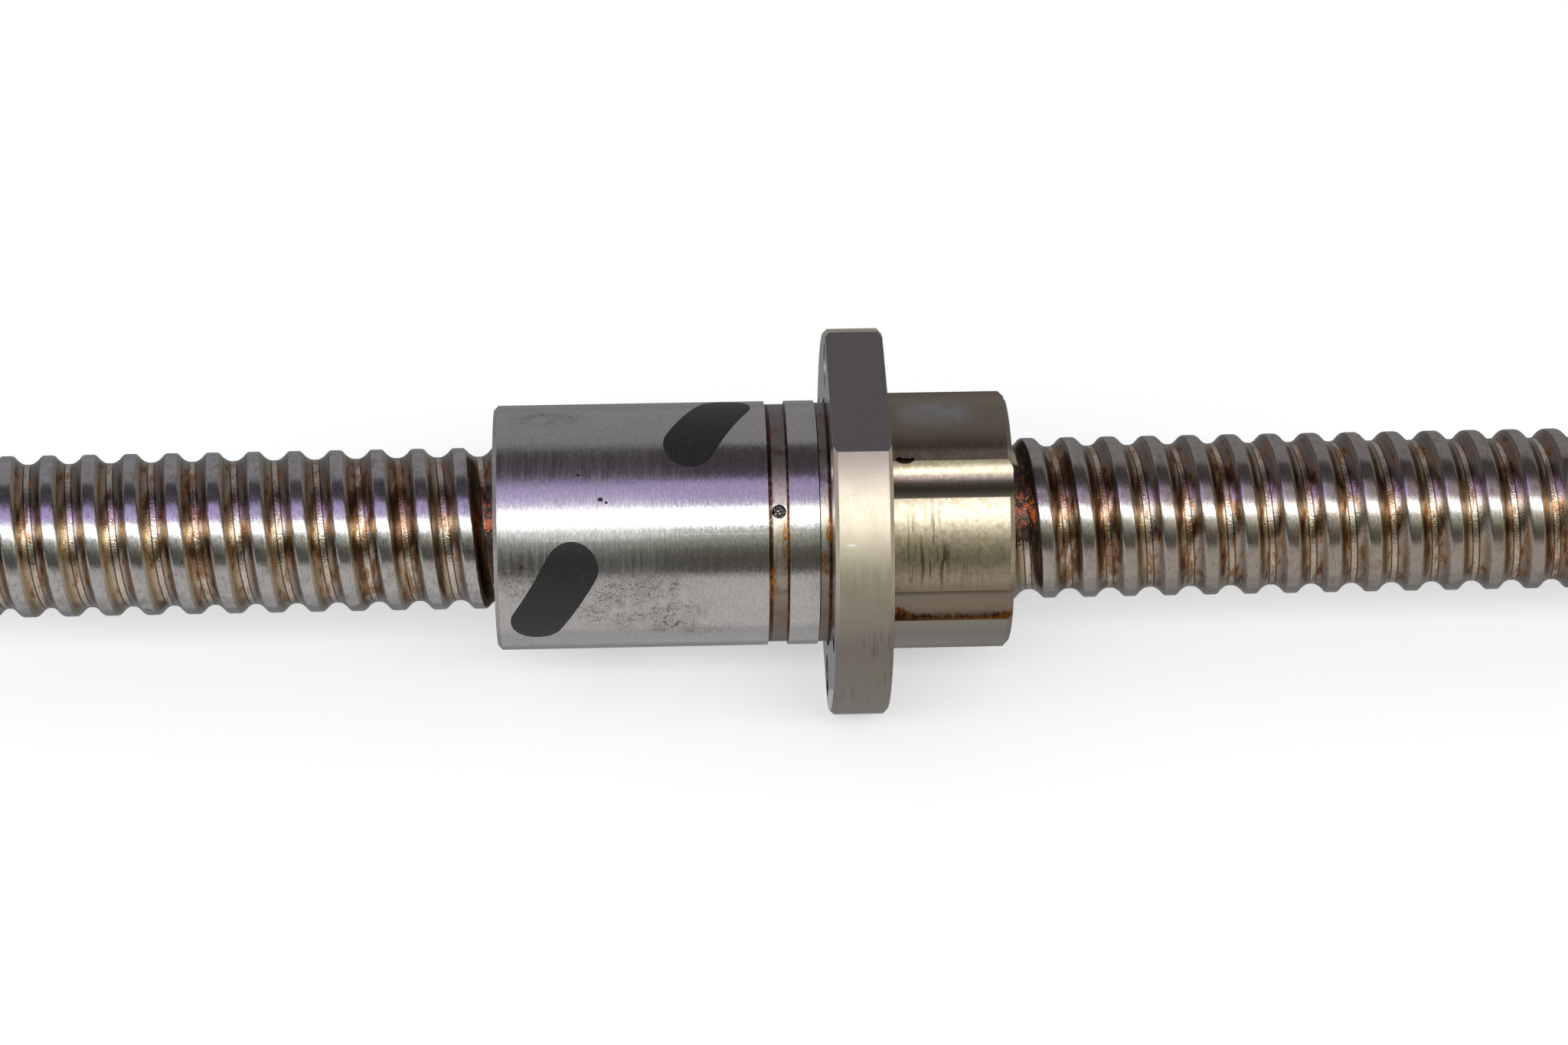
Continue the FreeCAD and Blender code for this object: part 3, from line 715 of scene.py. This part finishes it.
def grease_bead(name, turn, middle, half_width, thickness, top_angle, low_angle):
    """A bead of grease in one turn of the groove, from top_angle down to low_angle round the axis."""
    across = [middle + half_width * share for share in (-1, *even(-1, 1, GREASE_STEPS))]
    upper = [(value, shaft_radius(value) + thickness * (1 - ((value - middle) / half_width) ** 2))
             for value in across]
    lower = [(value, shaft_radius(value) - GREASE_SUNK) for value in reversed(across)]
    start = groove_place(90) + turn * LEAD
    shape = bmesh.new()
    loop = chain(shape, [(start + value, 0, radius) for value, radius in upper + lower], closed=True)
    wind(shape, loop, (top_angle - low_angle) / 360)
    turned = math.radians(90 - top_angle)
    bmesh.ops.rotate(shape, verts=shape.verts, cent=(0, 0, 0), matrix=Matrix.Rotation(turned, 3, "X"))
    bmesh.ops.translate(shape, verts=shape.verts, vec=(LEAD * turned / math.tau, 0, 0))
    bmesh.ops.edgeloop_fill(shape, edges=[edge for edge in shape.edges if edge.is_boundary])
    for vert in shape.verts:
        angle = math.degrees(math.atan2(vert.co.z, -vert.co.y))
        ground = shaft_radius(vert.co.x - turn * LEAD - groove_place(angle))
        proud = vert.co.yz.length - ground
        if proud > 0:
            share = (angle - low_angle) / (top_angle - low_angle)
            taper = math.sin(math.pi * min(max(share, BEAD_END), 1 - BEAD_END))
            lump = LUMP_SHARE * (1 + noise.noise(vert.co * LUMP_SCALE))
            height = max(proud * (taper * lump - GREASE_FADE), -GREASE_SUNK / 2)
            vert.co.yz = vert.co.yz * ((ground + height) / vert.co.yz.length)
    new_piece(name, shape, grease, "nut")


nut_left, nut_right = (corner.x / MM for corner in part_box("ball_nut"))
right_turn = math.ceil((nut_right - groove_place(CAMERA_SIDE)) / LEAD)
left_turn = math.floor((nut_left - groove_place(CAMERA_SIDE)) / LEAD)
grease_bead("grease_right", right_turn, middle=0.0, half_width=1.35, thickness=0.4,
            top_angle=100, low_angle=15)
grease_bead("grease_left", left_turn, middle=0.55, half_width=0.85, thickness=0.3,
            top_angle=85, low_angle=-30)

# %% [markdown]
# The oil hole is plugged with old grease. It is a small ball, flattened towards the axis and made lumpy by
# noise.

# %% Plug of the oil hole
OIL_HOLE_ANGLE = 47.0
PLUG_RADIUS = 0.8
PLUG_DEPTH = 13.85
PLUG_FLATNESS = 0.5
PLUG_DENTS = 0.12
PLUG_DENT_SCALE = 4

plug_shape = bmesh.new()
bmesh.ops.create_icosphere(plug_shape, subdivisions=4, radius=PLUG_RADIUS)
for vert in plug_shape.verts:
    vert.co *= 1 - PLUG_DENTS * abs(noise.noise(vert.co * PLUG_DENT_SCALE))
bmesh.ops.scale(plug_shape, verts=plug_shape.verts, vec=(1, PLUG_FLATNESS, 1))
bmesh.ops.translate(plug_shape, verts=plug_shape.verts, vec=(sum(OIL_GROOVE) / 2, -PLUG_DEPTH, 0))
bmesh.ops.rotate(plug_shape, verts=plug_shape.verts, cent=(0, 0, 0),
                 matrix=Matrix.Rotation(-math.radians(OIL_HOLE_ANGLE), 3, "X"))
black_grease = Finish("black_grease", "wiper_polymer")
crust = black_grease.noise(0.3, 3.0)
painted_glint_spots = black_grease.noise(0.22, 1.0, shift=6.0)
# The white spots are painted glints on the black grease.
crust_and_painted_glint_colour = painted_glint_spots.between(0.56, 0.62).tint(rgb(0.012, 0.01, 0.01), rgb(0.75, 0.75, 0.72))
black_grease.finish(base_color=crust_and_painted_glint_colour, roughness=0.2 + crust * 0.2,
                    normal=black_grease.bump(crust, 0.15, 1.0))
new_piece("oil_hole_grease", plug_shape, black_grease, "nut")

# %% [markdown]
# Four black inserts, the deflectors, lead the balls back over a land. They are moulded and slightly glossy,
# with a fine grain. The wipers are dark and oily, and the balls inside are polished. Their shapes come from
# the construction, so they only need finishes.

# %% Deflectors, wipers and balls
CIRCUIT_NUMBERS = range(1, 5)

deflector = Finish("deflector_black", "deflector_black")
grain = deflector.noise(0.2, 3.0)
dust = deflector.noise(0.12, 1.0, shift=4.0)
deflector_colour = grain.tint(rgb(0.006, 0.006, 0.007), rgb(0.018, 0.018, 0.02))
deflector_colour = dust.between(0.72, 0.8).tint(deflector_colour, rgb(0.25, 0.25, 0.24))
deflector.finish(base_color=deflector_colour, roughness=0.36 + grain * 0.14,
                 normal=deflector.bump(grain, 0.015, 0.5))
deflector.give(*(nodes[f"deflector_{number}"] for number in CIRCUIT_NUMBERS))

wiper = Finish("wiper_polymer", "wiper_polymer")
smear = wiper.noise(0.6, 3.0)
wiper.finish(base_color=smear.tint(rgb(0.05, 0.04, 0.03), rgb(0.12, 0.08, 0.04)),
             roughness=0.35 + smear * 0.3)
wiper.give(nodes["wiper_left"], nodes["wiper_right"])

ball = Finish("ball_steel", "ball_steel")
polish = ball.noise(0.4, 2.0)
ball.finish(base_color=polish.tint(rgb(0.70, 0.70, 0.72), rgb(0.78, 0.78, 0.79)),
            roughness=0.08 + polish * 0.06, metallic=1.0)
ball.give(*(nodes[f"ball_circuit_{number}"] for number in CIRCUIT_NUMBERS))

# %% [markdown]
# The part lies on a white floor. The floor keeps a soft shadow from its diffuse half, and the other half is a
# constant white for the rays that look at it, so that no extra light has to fall on the steel.

# %% Floor
FLOOR_HEIGHT = -FLAT_HEIGHT * MM
FLOOR_SIZE = 40.0
FLOOR_WHITE = 0.8
FLOOR_GLOW = 0.43

floor_shape = bmesh.new()
bmesh.ops.create_grid(floor_shape, x_segments=1, y_segments=1, size=FLOOR_SIZE / 2)
floor_mesh = bpy.data.meshes.new("floor")
floor_shape.to_mesh(floor_mesh)
floor_shape.free()
floor_mesh.transform(Matrix.Translation((0, 0, FLOOR_HEIGHT)))
floor = bpy.data.objects.new("floor", floor_mesh)
scene.collection.objects.link(floor)
floor_material = bpy.data.materials.new("white_floor")
floor_material.use_nodes = True
floor_tree = floor_material.node_tree
floor_tree.nodes.remove(floor_tree.nodes["Principled BSDF"])
floor_start = Sheen(floor_tree)
matt_white = floor_start.node("BsdfDiffuse", {}, {"Color": rgb(FLOOR_WHITE, FLOOR_WHITE, FLOOR_WHITE)})
glow = floor_start.node("Emission", {}, {"Color": rgb(1, 1, 1), "Strength": FLOOR_GLOW})
looks_at_floor = sum(floor_start.node("LightPath", output=name)
                     for name in ("Is Camera Ray", "Is Glossy Ray", "Is Transmission Ray"))
bright_white = floor_start.node("AddShader", {}, {0: matt_white, 1: glow})
seen_floor = floor_start.node("MixShader", {}, {0: looks_at_floor, 1: matt_white, 2: bright_white})
floor_tree.links.new(seen_floor.socket, floor_tree.nodes["Material Output"].inputs["Surface"])
floor_mesh.materials.append(floor_material)
print("floor at", round(FLOOR_HEIGHT / MM, 1), "mm")

# %% [markdown]
# Bright steel is only as good as what it mirrors. One long soft lamp runs along the shaft, above the camera,
# and gives the white stripe. Around it stand cards that only reflections can see: dark overhead and low in
# front, a violet one beside the lamp, grey ones behind, and strips that lie on the floor. The standing cards
# are arcs about the shaft's axis, made by a spin.

# %% Lamp and world
LAMP_ANGLE = math.radians(48.5)
LAMP_DISTANCE = 0.85
LAMP_LENGTH = 3.2
LAMP_WIDTH = 0.235
LAMP_BRIGHTNESS = 3.2
ROOM_COLOUR = rgb(0.95, 0.97, 1.0)
ROOM_BRIGHTNESS = 0.5

lamp_data = bpy.data.lights.new("long_lamp", "AREA")
lamp_data.shape = "RECTANGLE"
lamp_data.size = LAMP_LENGTH
lamp_data.size_y = LAMP_WIDTH
lamp_data.energy = LAMP_BRIGHTNESS * math.pi * LAMP_LENGTH * LAMP_WIDTH
lamp = bpy.data.objects.new("long_lamp", lamp_data)
lamp.location = (0, -LAMP_DISTANCE * math.cos(LAMP_ANGLE), LAMP_DISTANCE * math.sin(LAMP_ANGLE))
lamp.rotation_euler = (math.radians(90) - LAMP_ANGLE, 0, 0)
scene.collection.objects.link(lamp)

world = bpy.data.worlds.new("pale_room")
world.use_nodes = True
room = world.node_tree.nodes["Background"]
room.inputs["Color"].default_value = ROOM_COLOUR
room.inputs["Strength"].default_value = ROOM_BRIGHTNESS
scene.world = world
print("lamp of", round(lamp_data.energy, 2), "W")

# %% [markdown]
# Each standing card is listed with the angles where it starts and ends, each strip on the floor with its y
# in metres, and all with their colours at the left and at the right of the part.

# %% Cards
CARD_RADIUS = 1.0
CARD_LENGTH = 8.0
CARD_STEPS = 8
ARC_CARDS = {
    "horizon_card": (-1.1, 12, (0.072, 0.072, 0.06), (0.12, 0.105, 0.075)),
    "low_dark_card": (12, 21, (0.085, 0.09, 0.075), (0.17, 0.155, 0.115)),
    "low_olive_card": (21, 30, (0.24, 0.26, 0.22), (0.40, 0.39, 0.29)),
    "pale_card": (30, 39, (0.50, 0.54, 0.48), (0.66, 0.65, 0.53)),
    "violet_card": (58, 84, (0.63, 0.51, 0.95), (0.43, 0.36, 0.36)),
    "overhead_dark_card": (84, 120, (0.062, 0.056, 0.064), (0.072, 0.062, 0.058)),
    "rear_grey_card": (120, 181.1, (0.32, 0.313, 0.33), (0.30, 0.29, 0.295)),
}
FLOOR_CARDS = {
    "far_floor_card": (-0.23, -1.0, (0.05, 0.055, 0.05), (0.08, 0.075, 0.06)),
    "front_floor_card": (-0.02, -0.23, (0.62, 0.60, 0.585), (0.52, 0.475, 0.43)),
    # The strip nearest the part is darker: a painted shadow of the part, seen only in reflections.
    "near_floor_shadow_card": (-0.0085, -0.02, (0.46, 0.45, 0.45), (0.39, 0.37, 0.35)),
    "rear_floor_card": (-0.0085, 1.0, (0.25, 0.26, 0.27), (0.25, 0.25, 0.25)),
}
ARC_BLEND = (0.03, 0.085)
FLOOR_BLEND = (0.0, 0.05)
FLOOR_CARD_LIFT = 0.0004


def card_edge(shape, y, z):
    """The edge along x that a card starts from."""
    return chain(shape, [(side * CARD_LENGTH / 2, y, z) for side in (-1, 1)])


def hang_card(name, shape, left_colour, right_colour, blend):
    """Make a sheet a card that only reflections see, with a colour that changes along x."""
    mesh = bpy.data.meshes.new(name)
    shape.to_mesh(mesh)
    shape.free()
    material = bpy.data.materials.new(name)
    material.use_nodes = True
    tree = material.node_tree
    start = Sheen(tree)
    along = start.node("SeparateXYZ", {}, {0: start.node("TexCoord", output="Object")}, "X")
    colour = along.between(*blend).tint(rgb(*left_colour), rgb(*right_colour))
    glow = start.node("Emission", {}, {"Color": colour})
    tree.links.new(glow.socket, tree.nodes["Material Output"].inputs["Surface"])
    mesh.materials.append(material)
    card = bpy.data.objects.new(name, mesh)
    scene.collection.objects.link(card)
    for ray in ("camera", "diffuse", "shadow", "transmission", "volume_scatter"):
        setattr(card, "visible_" + ray, False)
    print(name, "spans", [round(size, 2) for size in card.dimensions], "m")


for card_name, (card_start, card_end, *card_colours) in ARC_CARDS.items():
    card_shape = bmesh.new()
    first_edge = card_edge(card_shape, -CARD_RADIUS, 0)
    bmesh.ops.rotate(card_shape, verts=card_shape.verts, cent=(0, 0, 0),
                     matrix=Matrix.Rotation(-math.radians(card_start), 3, "X"))
    bmesh.ops.spin(card_shape, geom=first_edge, cent=(0, 0, 0), axis=(1, 0, 0),
                   angle=-math.radians(card_end - card_start), steps=CARD_STEPS)
    hang_card(card_name, card_shape, *card_colours, ARC_BLEND)
for card_name, (card_start, card_end, *card_colours) in FLOOR_CARDS.items():
    card_shape = bmesh.new()
    first_edge = card_edge(card_shape, card_start, FLOOR_HEIGHT + FLOOR_CARD_LIFT)
    far = bmesh.ops.extrude_edge_only(card_shape, edges=first_edge[-1:])["geom"]
    bmesh.ops.translate(card_shape, vec=(0, card_end - card_start, 0), verts=only_verts(far))
    hang_card(card_name, card_shape, *card_colours, FLOOR_BLEND)
